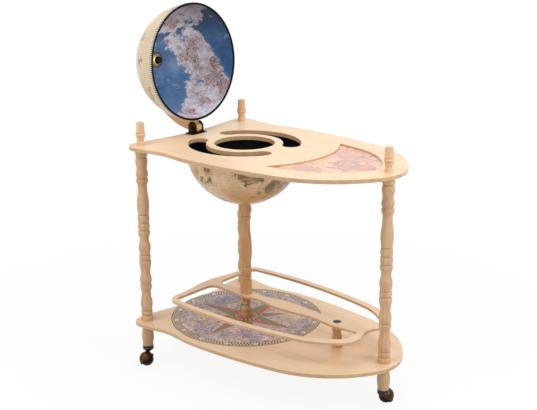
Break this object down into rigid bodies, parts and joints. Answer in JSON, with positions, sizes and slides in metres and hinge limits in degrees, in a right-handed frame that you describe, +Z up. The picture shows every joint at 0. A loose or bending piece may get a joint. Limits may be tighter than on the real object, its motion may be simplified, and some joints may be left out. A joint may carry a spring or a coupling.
{
  "type": "globe bar side table",
  "caption": "Three-legged teardrop side table on ball casters with a globe bar let into its top: the globe's upper half hinges back on an arm and turns about its pole.",
  "frame": {"origin": "on the floor, under the middle of the overall length and on the table's plane of symmetry", "axes": "+Z up, +X towards the table's narrow front end, +Y to the right of someone who faces that end; the globe's lid is stored open"},
  "size_m": [0.9139, 0.503, 1.0173],
  "materials": {
    "tabletop": "satin cream lacquer over wood",
    "map_print": "printed paper sheet under lacquer",
    "shelf_wood": "satin cream lacquer over wood",
    "compass_print": "printed paper disc under lacquer",
    "gallery_wood": "satin cream lacquer over wood",
    "turned_wood": "satin lacquer over pale turned wood",
    "arm_wood": "satin lacquer over bent wood",
    "dark_plug": "dark stained wood",
    "globe_print": "printed paper over moulded wood fibre, lacquered",
    "lid_print": "printed paper lining, lacquered",
    "scale_print": "printed paper band, lacquered",
    "dark_rim": "dark gloss moulding",
    "brass": "aged brass",
    "bronze": "aged dark brass",
    "steel": "plain steel",
    "caster_plastic": "dark brown moulded plastic",
    "caster_brass": "antique brass plated shell",
    "caster_tread": "black moulded tread"
  },
  "bodies": {
    "frame": {"top_board": "tabletop", "map_panel": "map_print", "globe_bowl": "globe_print", "shelf_board": "shelf_wood", "compass_panel": "compass_print", "gallery_plate": "gallery_wood", "gallery_post": "turned_wood", "post_screw": "steel", "post_plug": "dark_plug", "column_upper": "turned_wood", "column_lower": "turned_wood", "column_rod": "steel", "column_nuts": "steel", "finial_studs": "steel", "foot_studs": "steel", "hinge_bracket": "bronze", "hinge_pin": "bronze", "bracket_screws": "bronze", "leg_rear_left": "turned_wood", "leg_rear_right": "turned_wood", "leg_front": "turned_wood", "finial_rear_left": "turned_wood", "finial_rear_right": "turned_wood", "finial_front": "turned_wood", "foot_rear_left": "turned_wood", "foot_rear_right": "turned_wood", "foot_front": "turned_wood", "caster_socket_rear_left": "caster_plastic", "caster_socket_rear_right": "caster_plastic", "caster_socket_front": "caster_plastic", "caster_stem_rear_left": "steel", "caster_stem_rear_right": "steel", "caster_stem_front": "steel"},
    "lid_arm": {"lid_arm": "arm_wood", "arm_bush": "bronze", "pole_bolt": "bronze", "pole_washer": "bronze", "pole_nut": "brass"},
    "lid": {"lid_shell": "globe_print", "lid_lining": "lid_print", "lid_rim": "dark_rim", "scale_band": "scale_print", "pole_cup": "brass"},
    "caster_rear_left": {"caster_hood_rear_left": "caster_brass", "caster_axle_rear_left": "steel"},
    "wheel_rear_left": {"caster_wheel_rear_left": "caster_tread"},
    "caster_rear_right": {"caster_hood_rear_right": "caster_brass", "caster_axle_rear_right": "steel"},
    "wheel_rear_right": {"caster_wheel_rear_right": "caster_tread"},
    "caster_front": {"caster_hood_front": "caster_brass", "caster_axle_front": "steel"},
    "wheel_front": {"caster_wheel_front": "caster_tread"}
  },
  "joints": [
    {"name": "swivel_rear_left", "type": "hinge", "parent": "frame", "child": "caster_rear_left", "pos_m": [-0.26114, -0.206, 0.037], "axis": [0, 0, 1], "continuous": true},
    {"name": "wheel_spin_rear_left", "type": "hinge", "parent": "caster_rear_left", "child": "wheel_rear_left", "pos_m": [-0.2441, -0.22946, 0.02066], "axis": [-0.4524, -0.3287, 0.829], "continuous": true},
    {"name": "swivel_rear_right", "type": "hinge", "parent": "frame", "child": "caster_rear_right", "pos_m": [-0.26114, 0.206, 0.037], "axis": [0, 0, 1], "continuous": true},
    {"name": "wheel_spin_rear_right", "type": "hinge", "parent": "caster_rear_right", "child": "wheel_rear_right", "pos_m": [-0.2441, 0.22946, 0.02066], "axis": [0.4524, -0.3287, 0.829], "continuous": true},
    {"name": "swivel_front", "type": "hinge", "parent": "frame", "child": "caster_front", "pos_m": [0.42386, 0, 0.037], "axis": [0, 0, 1], "continuous": true},
    {"name": "wheel_spin_front", "type": "hinge", "parent": "caster_front", "child": "wheel_front", "pos_m": [0.4149, 0.02758, 0.02066], "axis": [0.5318, 0.1728, 0.829], "continuous": true},
    {"name": "lid_hinge", "type": "hinge", "parent": "frame", "child": "lid_arm", "pos_m": [-0.25114, 0, 0.662], "axis": [0, 1, 0], "range_deg": [0, 94]},
    {"name": "lid_turn", "type": "hinge", "parent": "lid_arm", "child": "lid", "pos_m": [-0.24936, 0, 0.85159], "axis": [-0.9976, 0, -0.0698], "continuous": true}
  ]
}
